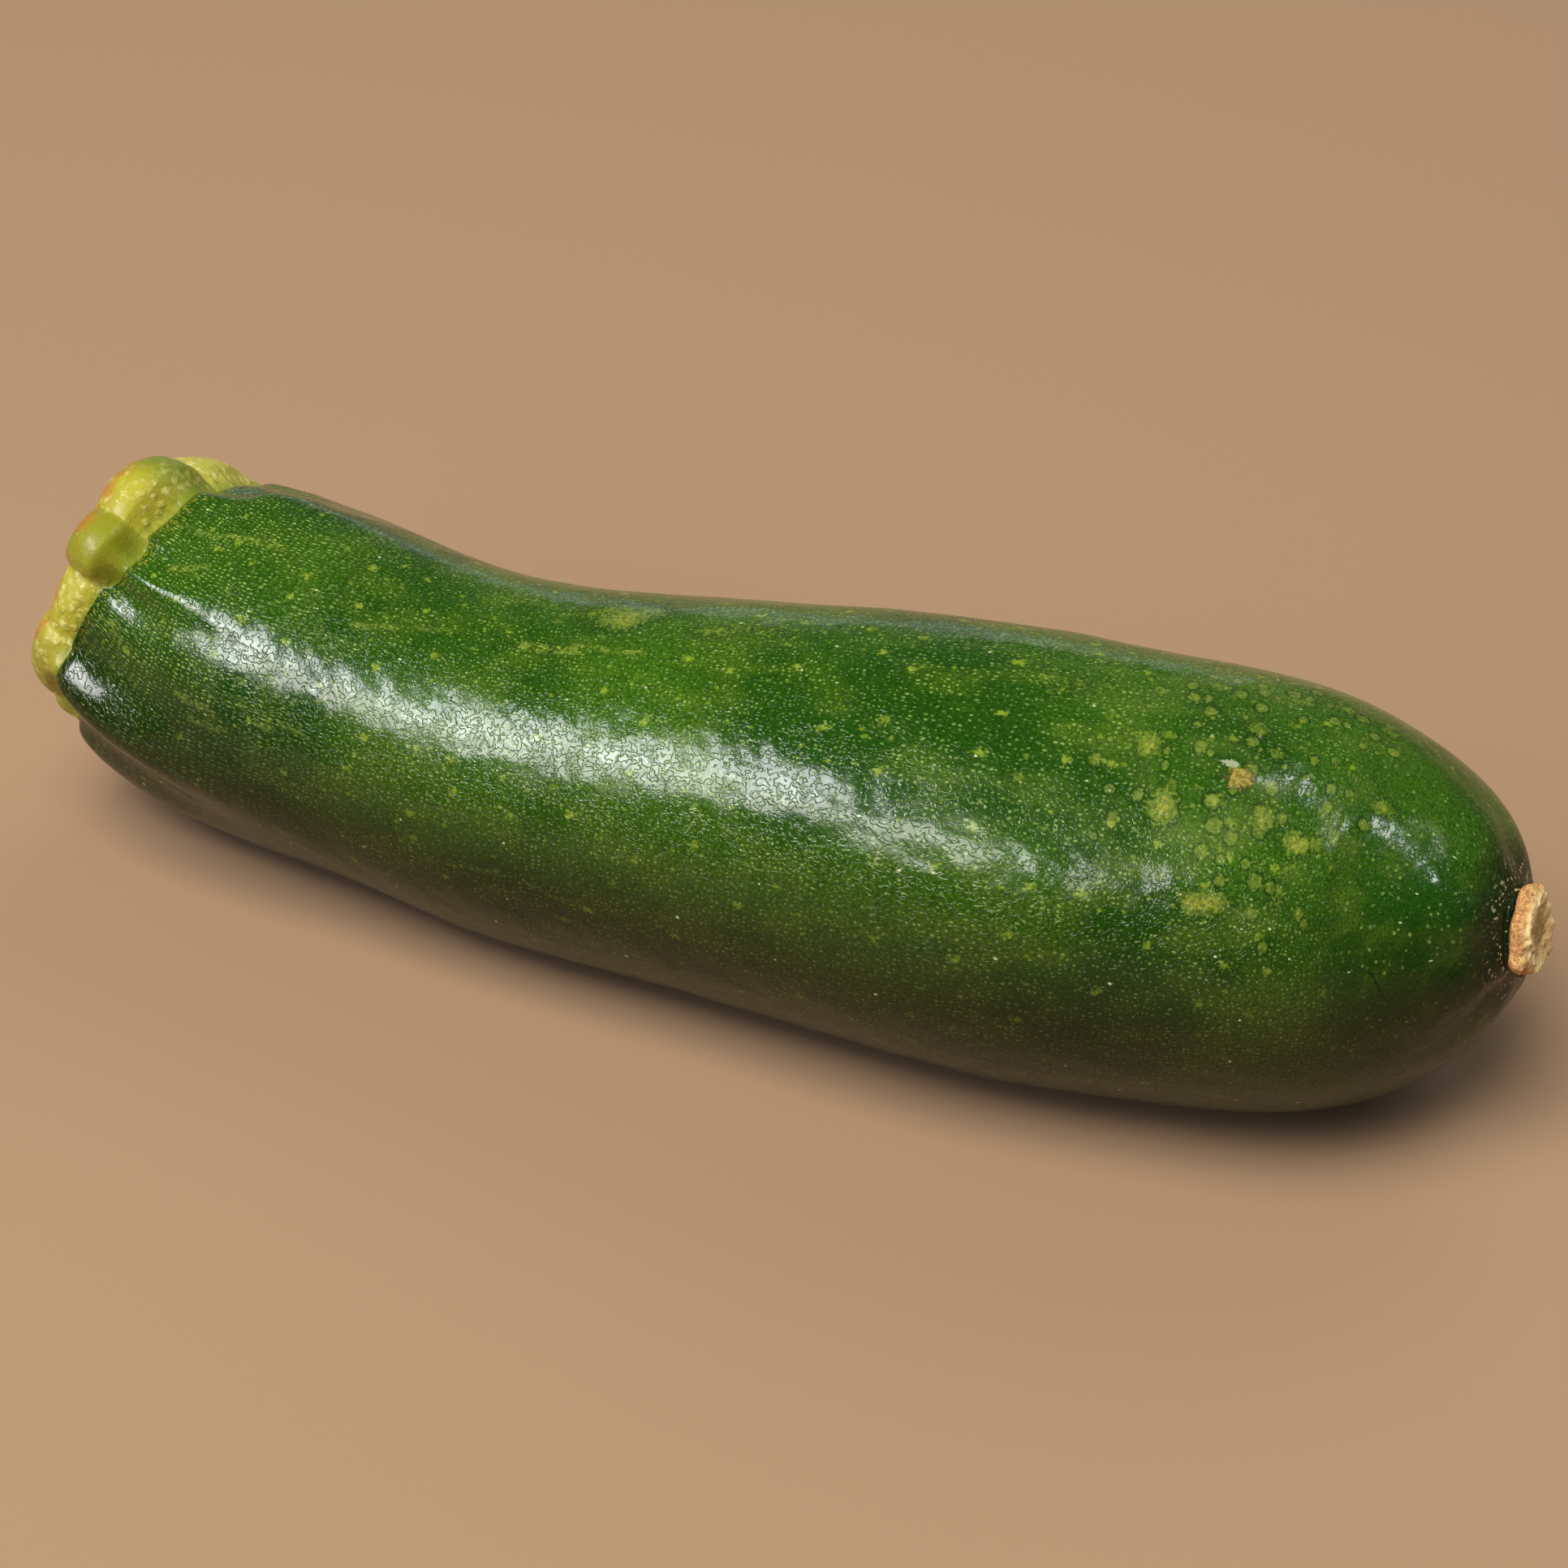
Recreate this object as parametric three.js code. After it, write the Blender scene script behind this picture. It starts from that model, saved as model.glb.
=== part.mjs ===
// A whole courgette lying on its belly on a flat surface.
//
// Millimetres. +X runs along the fruit from its stem to its blossom end, +Z is up, and the
// surface it rests on is Z = 0. The origin is the middle of its footprint.
//
// The fruit grew as one piece. The other two bodies are the stub of the stem, cut off just
// above the fruit, and the corky scar where the flower dropped off.
import * as THREE from "three";

const { smoothstep, lerp, clamp, degToRad } = THREE.MathUtils;

// ---- Driving dimensions ----
const NECK_RADIUS = 21.7; // the slimmer end, towards the stem
const BELLY_RADIUS = 26.4; // the thickest place, towards the blossom
const STEM_FACE_RADIUS = 17.4; // the flat joint that the stem sits on
const SHOULDER_LENGTH = 30; // from that joint out to the full neck
const SHOULDER_SLOPE = 1.6; // the higher, the more the shoulder slopes
const SWELL_FROM = 37; // where the neck starts to swell, along the fruit
const SWELL_TO = 125; // where it has become the belly
const NOSE_LENGTH = 42; // the rounded blossom end
const NOSE_BLUNTNESS = 2.25; // 2 is an ellipse, and more is blunter
const BELLY_FLAT = 0.9; // how much of the belly is flattened where it lies
const SCAR_HEIGHT = 2.3; // how far the corky scar stands up
const SCAR_RADIUS = 5;
const SCAR_FACE_RADIUS = 4.6; // the flat joint that the scar sits on
const SCAR_FACE_DEPTH = 0.9; // how far that joint is sunk below the puckered skin
const SCAR_LIP = 0.8; // how wide the skin's edge round it is
const SKIN_STOPS = 0.8; // how far from the end the skin turns in to that edge
const JOINT_GAP = 0.3; // between neighbouring bodies

// ---- The middle of the fruit, from the stem joint to the blossom scar ----
// It is bowed: both ends lift off the surface, and both bend back a little.
const CENTRE_LINE = new THREE.CatmullRomCurve3(
  [
    [-89, 4.0, 30.1],
    [-78, 2.2, 26.2],
    [-60, 0, 24.2],
    [-32, -2.6, 22.8],
    [-4, -3.1, 24.6],
    [24, -3.5, 26.4],
    [50, -1.3, 26.0],
    [70, -0.1, 27.2],
    [88, -2.4, 31.6],
  ].map(([x, y, z]) => new THREE.Vector3(x, y, z - BELLY_FLAT)),
  false,
  "catmullrom",
  0.5,
);
const FRUIT_LENGTH = CENTRE_LINE.getLength();

// ---- The knobs of the stem, which run on as ridges over the fruit's shoulder ----
// A knob is `round` degrees from the top towards the front. `half` is half its width in degrees,
// `bulge` how far it stands out, `foot` how far it runs down over the fruit and `tip` how far it
// stands beyond the joint. Its ridge leaves the joint at `crest` degrees, swings `swing` degrees
// round the fruit, is `width` wide and `ridge` high there, and fades out over `reach`.
const KNOBS = [
  { round: 8, half: 24, bulge: 2.5, foot: 0.2, tip: 8.9,
    crest: 0, swing: -18, width: 2.9, ridge: 1.3, reach: 50 },
  { round: 39, half: 14, bulge: 3.0, foot: 1.2, tip: 7.9,
    crest: 41, swing: -1, width: 1.8, ridge: 1.5, reach: 25 },
  { round: 106, half: 23, bulge: 1.5, foot: 0.4, tip: 7.5,
    crest: 95, swing: 2, width: 2.9, ridge: 2.4, reach: 42 },
  { round: 139, half: 14, bulge: 2.2, foot: 2.4, tip: 5.2,
    crest: 138, swing: 2, width: 2.9, ridge: 2.4, reach: 40 },
  { round: 208, half: 22, bulge: 1.2, foot: 0.8, tip: 3.8,
    crest: 208, swing: 0, width: 2.9, ridge: 1.5, reach: 46 },
  { round: 313, half: 42, bulge: 0.9, foot: 0.6, tip: 6.2,
    crest: 305, swing: 3, width: 2.9, ridge: 1.3, reach: 50 },
];
const WEB_BULGE = 0.8; // of the webs between the knobs
const WEB_SETBACK = 0.9; // how far back from the knobs' cut edge the webs' is
const MIDDLE_TIP = 6; // from the joint to the middle of the cut
const MIDDLE_RADIUS = 13; // how far out that level reaches before it meets the tips
const JOINT_SLANT = 1.3; // how far the joint runs down the fruit on its long side
const JOINT_LONG_SIDE = -50; // degrees round from the top towards the front
const JOINT_BLEND = 0.4; // share of the stub over which the fruit's outline becomes the knobs'
const FOOT_REACH = 9; // how far along the fruit the skin gives way to the knobs' feet
const SWING_LENGTH = 18; // how far along the fruit a ridge has swung round
const RIDGE_WIDENING = 0.11; // for each millimetre along the fruit

// ---- The puckered skin round the blossom scar ----
const PUCKER_COUNT = 7;
const PUCKER_DEPTH = 0.45;
const PUCKER_REACH = 16;
const PUCKER_TURN = 0.6; // radians
const RELIEF_STARTS = 4; // how far out from the scar's joint the skin has its full relief

// ---- Shallow hollows and rises where the fruit grew unevenly ----
const UNEVEN_PLACES = [
  { along: 172, round: 132, length: 7, width: 9, rise: -0.9 },
  { along: 146, round: 140, length: 12, width: 16, rise: -0.8 },
  { along: 160, round: 138, length: 8, width: 14, rise: 0.35 },
  { along: 42, round: -40, length: 10, width: 9, rise: -0.6 },
  { along: 106, round: -38, length: 14, width: 14, rise: 0.35 },
  { along: 124, round: 140, length: 10, width: 14, rise: 0.35 },
  { along: 54, round: 138, length: 9, width: 12, rise: 0.4 },
];

// ---- How finely the surfaces are faceted ----
const SIDES = 80; // round the fruit, and round the stem, so that their joint matches
const SCAR_SIDES = 36;
const SHOULDER_CROWDING = 1.6; // how much closer its rings are by the joint
const SHOULDER_STEPS = 12;
const BARREL_STEPS = 24;
const NOSE_STEPS = 22;

// The signed turn from one angle to another, by the shorter way round.
function turnBetween(from, to) {
  return Math.atan2(Math.sin(to - from), Math.cos(to - from));
}

function bell(x) {
  return Math.exp(-x * x / 2);
}

// The fruit's plain radius at a distance along its centre line.
function girth(along) {
  const neckToBelly = smoothstep(along, SWELL_FROM, SWELL_TO);
  const full = lerp(NECK_RADIUS, BELLY_RADIUS, neckToBelly);
  const shoulder = clamp(1 - along / SHOULDER_LENGTH, 0, 1);
  const shouldered = lerp(STEM_FACE_RADIUS, full, Math.sqrt(1 - shoulder ** SHOULDER_SLOPE));
  const nose = clamp(1 - (FRUIT_LENGTH - along) / NOSE_LENGTH, 0, 1);
  return shouldered * Math.sqrt(1 - nose ** NOSE_BLUNTNESS);
}

// How far the skin stands off that plain radius.
function relief(along, angle) {
  let height = 0;
  for (const knob of KNOBS) {
    const crest = degToRad(knob.crest + knob.swing * smoothstep(along, 0, SWING_LENGTH));
    const off = (turnBetween(crest, angle) * NECK_RADIUS) / (knob.width + RIDGE_WIDENING * along);
    const fade = 1 - smoothstep(along, 0, knob.reach);
    // a crest with a shallow groove on either side
    height += knob.ridge * fade * (1 - off * off / 2) * bell(off);
  }
  const nearScar = 1 - smoothstep(FRUIT_LENGTH - along, 0, PUCKER_REACH);
  height += PUCKER_DEPTH * nearScar * Math.cos(PUCKER_COUNT * angle + PUCKER_TURN);
  for (const place of UNEVEN_PLACES) {
    const ahead = (along - place.along) / place.length;
    const aside = (turnBetween(degToRad(place.round), angle) * girth(along)) / place.width;
    height += place.rise * bell(ahead) * bell(aside);
  }
  return height;
}

// The stub's shape at an angle round it. Each knob is an arch that rises from the webs: `bulge` is
// how far the stub stands out, `foot` where its joint with the fruit is and `tip` how far out its
// cut edge is.
function stubAt(angle) {
  const turn = (from) => THREE.MathUtils.euclideanModulo(angle - degToRad(from), 2 * Math.PI);
  const before = KNOBS.reduce((a, b) => (turn(b.round) < turn(a.round) ? b : a));
  const after = KNOBS[(KNOBS.indexOf(before) + 1) % KNOBS.length];
  const pitch = turn(before.round) + 2 * Math.PI - turn(after.round);
  const level = lerp(before.tip, after.tip, smoothstep(turn(before.round) / pitch, 0, 1));
  let stands = 0;
  let bulge = 0;
  let foot = 0;
  for (const knob of KNOBS) {
    const off = turnBetween(degToRad(knob.round), angle) / degToRad(knob.half);
    const arch = Math.sqrt(Math.max(1 - off * off, 0));
    stands = Math.max(stands, arch);
    bulge = Math.max(bulge, knob.bulge * arch);
    foot = Math.max(foot, knob.foot * arch);
  }
  return {
    bulge: WEB_BULGE + bulge,
    foot: JOINT_SLANT * Math.cos(angle - degToRad(JOINT_LONG_SIDE)) + foot,
    tip: level - WEB_SETBACK * (1 - stands),
  };
}

// The joint is flat in the middle and follows the knobs' feet towards its edge.
const JOINT_RINGS = [9, 12, 14.5];

function footShare(radius) {
  return smoothstep(radius, JOINT_RINGS[0], STEM_FACE_RADIUS);
}

// The section across the centre line at a distance along it, which may lie past either end.
function sectionAt(along) {
  const inside = clamp(along, 0, FRUIT_LENGTH);
  const centre = CENTRE_LINE.getPointAt(inside / FRUIT_LENGTH);
  const onward = CENTRE_LINE.getTangentAt(inside / FRUIT_LENGTH);
  centre.addScaledVector(onward, along - inside);
  const upward = new THREE.Vector3(0, 0, 1).addScaledVector(onward, -onward.z).normalize();
  const frontward = new THREE.Vector3().crossVectors(onward, upward);
  return { centre, upward, frontward };
}

// A profile of [radius, along] pairs turned round the centre line. `shape` gives the final
// radius and distance along of each point, from its place on the profile and its angle round.
function turned(profile, sides, shape) {
  const points = profile.map(([radius, along]) => new THREE.Vector2(radius, along));
  const geometry = new THREE.LatheGeometry(points, sides);
  const position = geometry.getAttribute("position");
  for (let i = 0; i < position.count; i++) {
    const angle = Math.atan2(position.getX(i), position.getZ(i));
    const place = shape(i % profile.length, angle);
    const { centre, upward, frontward } = sectionAt(place.along);
    centre.addScaledVector(upward, place.radius * Math.cos(angle));
    centre.addScaledVector(frontward, place.radius * Math.sin(angle));
    position.setXYZ(i, centre.x, centre.y, Math.max(centre.z, 0));
  }
  geometry.computeVertexNormals();
  return geometry;
}

// ---- The fruit ----
function fruitGeometry() {
  const profile = [[0, 0], ...JOINT_RINGS.map((radius) => [radius, 0]), [STEM_FACE_RADIUS, 0]];
  const addSkin = (from, to, steps, ease) => {
    for (let i = 1; i <= steps; i++) {
      const along = lerp(from, to, ease(i / steps));
      profile.push([girth(along), along]);
    }
  };
  const noseStart = FRUIT_LENGTH - NOSE_LENGTH;
  addSkin(0, SHOULDER_LENGTH, SHOULDER_STEPS, (t) => t ** SHOULDER_CROWDING);
  addSkin(SHOULDER_LENGTH, noseStart, BARREL_STEPS, (t) => t);
  addSkin(noseStart, FRUIT_LENGTH - SKIN_STOPS, NOSE_STEPS, (t) => Math.sin((t * Math.PI) / 2));
  const sunk = FRUIT_LENGTH - SCAR_FACE_DEPTH;
  profile.push([SCAR_FACE_RADIUS + SCAR_LIP, FRUIT_LENGTH - SCAR_FACE_DEPTH / 3]);
  profile.push([SCAR_FACE_RADIUS, sunk], [0, sunk]);
  return turned(profile, SIDES, (i, angle) => {
    const [radius, along] = profile[i];
    const onSkin = smoothstep(radius, SCAR_FACE_RADIUS, SCAR_FACE_RADIUS + RELIEF_STARTS);
    const { foot } = stubAt(angle);
    if (i <= JOINT_RINGS.length) return { radius, along: foot * footShare(radius) };
    const givingWay = clamp(1 - along / FOOT_REACH, 0, 1) ** 2;
    return {
      radius: radius + onSkin * relief(along, angle),
      along: along + foot * givingWay,
    };
  });
}

// ---- The stem: knobs with bulging webs between them, and a dished, slanting cut ----
function stemGeometry() {
  // [radius, share of the stub's length, share of the bulge], from the cut to the joint
  const side = [
    [0, 0.88, 0],
    [4, 0.88, 0],
    [8.5, 0.91, 0.1],
    [11.2, 0.97, 0.3],
    [12.8, 1.0, 0.5],
    [13.9, 0.98, 0.7],
    [14.8, 0.91, 0.88],
    [15.6, 0.78, 1.04],
    [16.2, 0.6, 1.12],
    [16.5, 0.42, 1.08],
    [16.7, 0.25, 0.95],
    [16.8, 0.1, 0.8],
    [STEM_FACE_RADIUS, 0, 0],
  ];
  const joint = [...JOINT_RINGS.map((radius) => [radius, 0, 0]).reverse(), [0, 0, 0]];
  const outline = [...side, ...joint];
  const profile = outline.map(([radius, share]) => [radius, -share]);
  return turned(profile, SIDES, (i, angle) => {
    const [radius, share, bulging] = outline[i];
    const { bulge, foot, tip } = stubAt(angle);
    const cut = lerp(MIDDLE_TIP, tip, smoothstep(radius, 0, MIDDLE_RADIUS));
    const lobed = radius + bulging * bulge;
    const fruitEdge = STEM_FACE_RADIUS + relief(0, angle);
    return {
      radius: i < side.length ? lerp(fruitEdge, lobed, smoothstep(share, 0, JOINT_BLEND)) : radius,
      along: lerp(foot * footShare(radius), -cut, share) - JOINT_GAP,
    };
  });
}

// ---- The scar: a corky button with a raised rim ----
function scarGeometry() {
  // [share of the radius, share of the height], from the joint to the top
  const outline = [
    [0, 0],
    [0.5, 0],
    [0.9, 0],
    [1.0, 0.15],
    [1.02, 0.4],
    [0.95, 0.72],
    [0.82, 0.95],
    [0.7, 1.0],
    [0.55, 0.9],
    [0.3, 0.78],
    [0, 0.75],
  ];
  const base = FRUIT_LENGTH - SCAR_FACE_DEPTH + JOINT_GAP;
  const profile = outline.map(([r, h]) => [r * SCAR_RADIUS, base + h * SCAR_HEIGHT]);
  return turned(profile, SCAR_SIDES, (i, angle) => {
    const [radius, along] = profile[i];
    const wavy = 1 + 0.06 * Math.cos(3 * angle + 1) + 0.04 * Math.cos(7 * angle);
    return { radius: radius * wavy, along };
  });
}

// ---- Putting it together ----
function body(name, geometry, color, roughness) {
  const material = new THREE.MeshStandardMaterial({ color, roughness, metalness: 0 });
  const mesh = new THREE.Mesh(geometry, material);
  mesh.name = name;
  return mesh;
}

const courgette = new THREE.Group();
courgette.add(body("fruit", fruitGeometry(), 0x2c5a16, 0.32));
courgette.add(body("stem", stemGeometry(), 0xa8a52a, 0.5));
courgette.add(body("blossom_scar", scarGeometry(), 0xc09a55, 0.85));

const footprint = new THREE.Box3().setFromObject(courgette).getCenter(new THREE.Vector3());
courgette.position.set(-footprint.x, -footprint.y, 0);

export default courgette;
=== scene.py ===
"""A courgette lying on its belly, dressed for its picture.

The frame is the part's own: +X along the fruit from its stem to its blossom end, +Z up. The fruit,
its stem stub and its blossom scar are each made again, finer, over the CAD solid they replace.
Shapes are worked out in millimetres and handed to Blender in metres. A place on the skin is given
as (along, round): mm from the joint with the stub, and degrees from the top towards the front.
"""

import bpy
import numpy as np
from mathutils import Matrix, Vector


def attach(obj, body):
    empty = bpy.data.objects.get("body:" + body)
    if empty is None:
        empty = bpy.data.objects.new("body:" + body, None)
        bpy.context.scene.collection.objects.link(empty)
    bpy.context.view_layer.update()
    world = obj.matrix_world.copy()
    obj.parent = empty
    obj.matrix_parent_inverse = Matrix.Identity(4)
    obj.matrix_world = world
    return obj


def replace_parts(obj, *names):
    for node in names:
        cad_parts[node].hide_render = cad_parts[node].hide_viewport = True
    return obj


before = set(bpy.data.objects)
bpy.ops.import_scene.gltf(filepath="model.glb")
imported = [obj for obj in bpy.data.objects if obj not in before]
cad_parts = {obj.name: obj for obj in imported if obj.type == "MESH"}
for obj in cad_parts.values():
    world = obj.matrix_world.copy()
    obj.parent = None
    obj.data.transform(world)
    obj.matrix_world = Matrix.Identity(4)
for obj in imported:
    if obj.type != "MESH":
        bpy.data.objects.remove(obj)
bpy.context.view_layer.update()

METRES = 0.001  # in a millimetre

# ---- The fruit's driving dimensions, in mm, the same as the CAD source's ----
NECK_RADIUS = 21.7  # the slimmer end, towards the stem
BELLY_RADIUS = 26.4  # the thickest place, towards the blossom
STEM_FACE_RADIUS = 17.4  # the flat joint that the stem sits on
SHOULDER_LENGTH = 30  # from that joint out to the full neck
SHOULDER_SLOPE = 1.6  # the higher, the more the shoulder slopes
SWELL_FROM = 37  # where the neck starts to swell, along the fruit
SWELL_TO = 125  # where it has become the belly
NOSE_LENGTH = 42  # the rounded blossom end
NOSE_BLUNTNESS = 2.25  # 2 is an ellipse, and more is blunter
BELLY_FLAT = 0.9  # how much of the belly is flattened where it lies
SCAR_HEIGHT = 2.3  # how far the corky scar stands up
SCAR_RADIUS = 5
SCAR_FACE_RADIUS = 4.6  # the flat joint that the scar sits on
SCAR_FACE_DEPTH = 0.9  # how far that joint is sunk below the puckered skin
SCAR_LIP = 0.8  # how wide the skin's edge round it is
SKIN_STOPS = 0.8  # how far from the end the skin turns in to that edge
JOINT_GAP = 0.3  # between neighbouring bodies
FOOTPRINT_SHIFT = np.array([4.7084, 2.3377, 0])  # puts the origin under the middle
CENTRE_LINE = np.array(
    [
        (-89, 4.0, 30.1),
        (-78, 2.2, 26.2),
        (-60, 0, 24.2),
        (-32, -2.6, 22.8),
        (-4, -3.1, 24.6),
        (24, -3.5, 26.4),
        (50, -1.3, 26.0),
        (70, -0.1, 27.2),
        (88, -2.4, 31.6),
    ]
) + FOOTPRINT_SHIFT - (0, 0, BELLY_FLAT)

# Each knob is (round, half, bulge, foot, tip, crest, swing, width, ridge, reach): it is `round`
# degrees from the top towards the front, `half` is half its width in degrees, `bulge` how far it
# stands out, `foot` how far it runs down over the fruit and `tip` how far it stands beyond the
# joint. Its ridge leaves the joint at `crest` degrees, swings `swing` degrees round the fruit, is
# `width` wide and `ridge` high there, and fades out over `reach`.
KNOBS = [
    (8, 24, 2.5, 0.2, 8.9, 0, -18, 2.9, 1.3, 50),
    (39, 14, 3.0, 1.2, 7.9, 41, -1, 1.8, 1.5, 25),
    (106, 23, 1.5, 0.4, 7.5, 95, 2, 2.9, 2.4, 42),
    (139, 14, 2.2, 2.4, 5.2, 138, 2, 2.9, 2.4, 40),
    (208, 22, 1.2, 0.8, 3.8, 208, 0, 2.9, 1.5, 46),
    (313, 42, 0.9, 0.6, 6.2, 305, 3, 2.9, 1.3, 50),
]
WEB_BULGE = 0.8  # of the webs between the knobs
WEB_SETBACK = 0.9  # how far back from the knobs' cut edge the webs' is
MIDDLE_TIP = 6  # from the joint to the middle of the cut
MIDDLE_RADIUS = 13  # how far out that level reaches before it meets the tips
JOINT_SLANT = 1.3  # how far the joint runs down the fruit on its long side
JOINT_LONG_SIDE = -50  # degrees round from the top towards the front
JOINT_BLEND = 0.4  # share of the stub over which the fruit's outline becomes the knobs'
FOOT_REACH = 9  # how far along the fruit the skin gives way to the knobs' feet
JOINT_FLAT_RADIUS = 9  # outside this, the joint slants and follows the knobs
SWING_LENGTH = 18  # how far along the fruit a ridge has swung round
RIDGE_WIDENING = 0.11  # for each millimetre along the fruit
# The puckered skin round the scar
PUCKER_COUNT = 7
PUCKER_DEPTH = 0.45
PUCKER_REACH = 16
PUCKER_TURN = 0.6  # radians
RELIEF_STARTS = 4  # how far out from the scar's joint the skin has its full relief
# Where the skin rises or sinks: (along, round, length, width, rise)
UNEVEN_PLACES = [
    (172, 132, 7, 9, -0.9),
    (146, 140, 12, 16, -0.8),
    (160, 138, 8, 14, 0.35),
    (42, -40, 10, 9, -0.6),
    (106, -38, 14, 14, 0.35),
    (124, 140, 10, 14, 0.35),
    (54, 138, 9, 12, 0.4),
]

# ---- Finer marks that only the picture needs ----
# Small hollows and rises: (along, round, length, width, rise)
DENTS = [
    (3, 47, 7, 1.6, -0.5),  # the groove below the second knob's ridge
    (14, 46.5, 7, 1.5, -0.35),
    (5, 69, 6, 4.2, -1.0),  # the valley between the second and third ridges
    (169, 40, 3.2, 3.4, -0.4),  # a hollow by the blossom end
    (145.8, 22, 1.4, 1.3, 0.3),  # the scab
    (147.6, 4, 2.6, 2.6, -0.18),
    (149.7, 31, 2.0, 2.0, -0.15),
    (153.5, 36, 1.6, 1.6, -0.14),
    (160.4, 32, 1.5, 1.5, -0.12),
    (143.2, 32, 1.7, 1.7, -0.12),
    (145.5, 55, 2.2, 2.0, -0.1),
]
# Yellow-green blotches: (along, round, length, width, strength)
BLOTCHES = [
    (67.6, -5, 3.6, 3.0, 0.5),
    (70.5, -1, 1.5, 1.2, 0.5),
    (73, -8, 2.6, 1.6, 0.4),
    (82, 0, 1.8, 1.3, 0.55),
    (88, -3, 2.6, 1.2, 0.4),
    (122, 6, 1.3, 1.2, 0.5),
    (124.5, 1, 1.2, 1.1, 0.5),
    (131.1, 14, 0.8, 0.5, 0.5),
    (133.5, -2, 1.1, 1.0, 0.6),
    (133.8, 17, 1.3, 1.4, 0.95),
    (136.4, 13, 0.9, 0.5, 0.55),
    (137.3, 33, 1.6, 1.7, 1.0),
    (138, -1, 1.3, 1.0, 0.5),
    (138.8, 50, 0.5, 0.5, 0.8),
    (139.6, 8, 1.2, 0.6, 0.5),
    (140.6, -9, 1.7, 1.0, 0.6),
    (142.7, 55, 0.8, 0.9, 0.7),
    (143.4, 29, 0.9, 0.8, 0.75),
    (144.9, 54, 1.7, 1.1, 0.95),
    (145.7, 34, 0.7, 0.7, 0.8),
    (146.5, 5, 1.4, 1.2, 0.65),
    (149.4, 12, 0.9, 0.7, 0.75),
    (149.4, 31, 1.3, 1.2, 0.9),
    (150.4, -12, 1.9, 1.0, 0.6),
    (153.1, 50, 1.2, 1.5, 0.5),
    (154.5, 36, 1.6, 1.1, 1.0),
    (156.5, -17, 1.6, 1.0, 0.6),
    (156.5, 54, 0.6, 0.6, 0.85),
    (157.9, 35, 0.9, 0.7, 0.6),
    (160.5, 32, 0.85, 0.8, 0.85),
    (162.4, -17, 1.4, 1.0, 0.6),
    (166.4, 17, 1.2, 1.0, 0.8),
]
# Where small round spots are scattered: (along, round, length, width)
SPOTTED = [(145, 35, 11, 9), (150, -2, 10, 8), (139, 5, 6, 7)]
# Short pale streaks along the fruit: (from, to, round at the start, round at the end, strength)
STREAK_HALF_WIDTH = 0.5
STREAK_FADES = 0.8  # how far past each end it has faded
STREAKS = [
    (9, 21, 12, 7, 0.8),
    (2, 8, 14, 12, 0.6),
    (5, 13, 31, 25, 0.75),
    (17, 22.5, 69, 70, 0.65),
    (19.5, 24.5, 75, 74, 0.6),
    (27, 30.5, 66, 68, 0.5),
    (2, 6, 62, 66, 0.6),
    (30, 35, 64, 65, 0.5),
    (36, 41, 26, 22, 0.6),
    (44, 48, 19, 17, 0.5),
    (59, 66, 15, 14, 0.9),
    (67, 75, 12, 12, 0.7),
    (53, 62, 92, 88, 0.5),
    (66, 74, 89, 94, 0.6),
    (40, 47, 96, 96, 0.35),
]
# One scab with a pale chip beside it, whose grey-white is partly a painted glint: (along, round,
# length, width)
SCAB = (145.8, 22, 1.2, 1.05)
CHIP = (144.4, 18.3, 1.0, 0.42)
# Scratches, from (along, round) to (along, round), and the width in mm
SCRATCHES = [
    ((35.8, 45), (37.0, 52), 0.16),
    ((37.3, 45), (39.3, 53), 0.14),
    ((109.8, 55), (109.3, 61), 0.12),
    ((86.6, 62), (87.6, 58), 0.12),
]
# Cuts, given in the same way
CUTS = [((168.2, 74), (169.6, 88), 0.14), ((167.6, 73), (168.4, 75), 0.1)]
STUB_BORDER = 5  # how far along the skin is dark and mottled by the stub
SCAR_BORDER = 7  # how far along it is rough and dark by the scar
# Painted shade: the skin's colour is darkened round its lower side, standing in for shade
PAINTED_SHADE_STARTS = 42  # degrees round, either way, where the painted shade on the skin starts
PAINTED_SHADE_FULL = 102  # degrees round, where the painted shade is darkest
PAINTED_SHADE_FRONT_LEAD = 0.22  # how much darker the painted shade gets on the front than on the underside

# ---- Seeded unevenness: (seed, size, height) in mm ----
SKIN_LUMPS = [(1, 11, 0.13), (2, 4.5, 0.06)]
SEAT_LUMPS = (3, 2.2, 0.3)  # in the skin round the scar
STUB_LUMPS = [(4, 2.0, 0.17), (5, 0.9, 0.09)]
STUB_CUT_LUMPS = (6, 1.4, 0.25)
SCAR_LUMPS = [(7, 1.1, 0.3), (8, 0.5, 0.18)]
KNOB_CALM = 0.7  # how much smoother a knob is than a web
SEAT_STRETCH = (0.4, 1, 1)  # what the place is multiplied by, which draws lumps out along
CUT_STRETCH = (0.2, 1, 1)

# ---- Where the stub's surface changes ----
CUT_ENDS = (11.5, 13)  # radii over which the cut's face gives way to its edge
LUMPS_START = (12, 14)  # radii over which the side's lumps come in
DRIED_RADII = (12.3, 13.4)  # over which the dried edge comes in
DRIED_SHARES = (0.6, 0.88)  # of the length, over which it comes in too
BUNDLE_RING = 8.6  # radius of the ring of darker bundles in the cut
BUNDLE_RING_WIDTH = 1.2
KNOB_TINTED = (0.15, 0.75)  # how much of a knob it is, over which the knob's own tint comes in
FIRST_KNOB_YELLOWS = (-2, 14)  # degrees round over which the first knob's green ends
GREEN_FOOT = 0.3  # share of the length that is greener, by the joint

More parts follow.
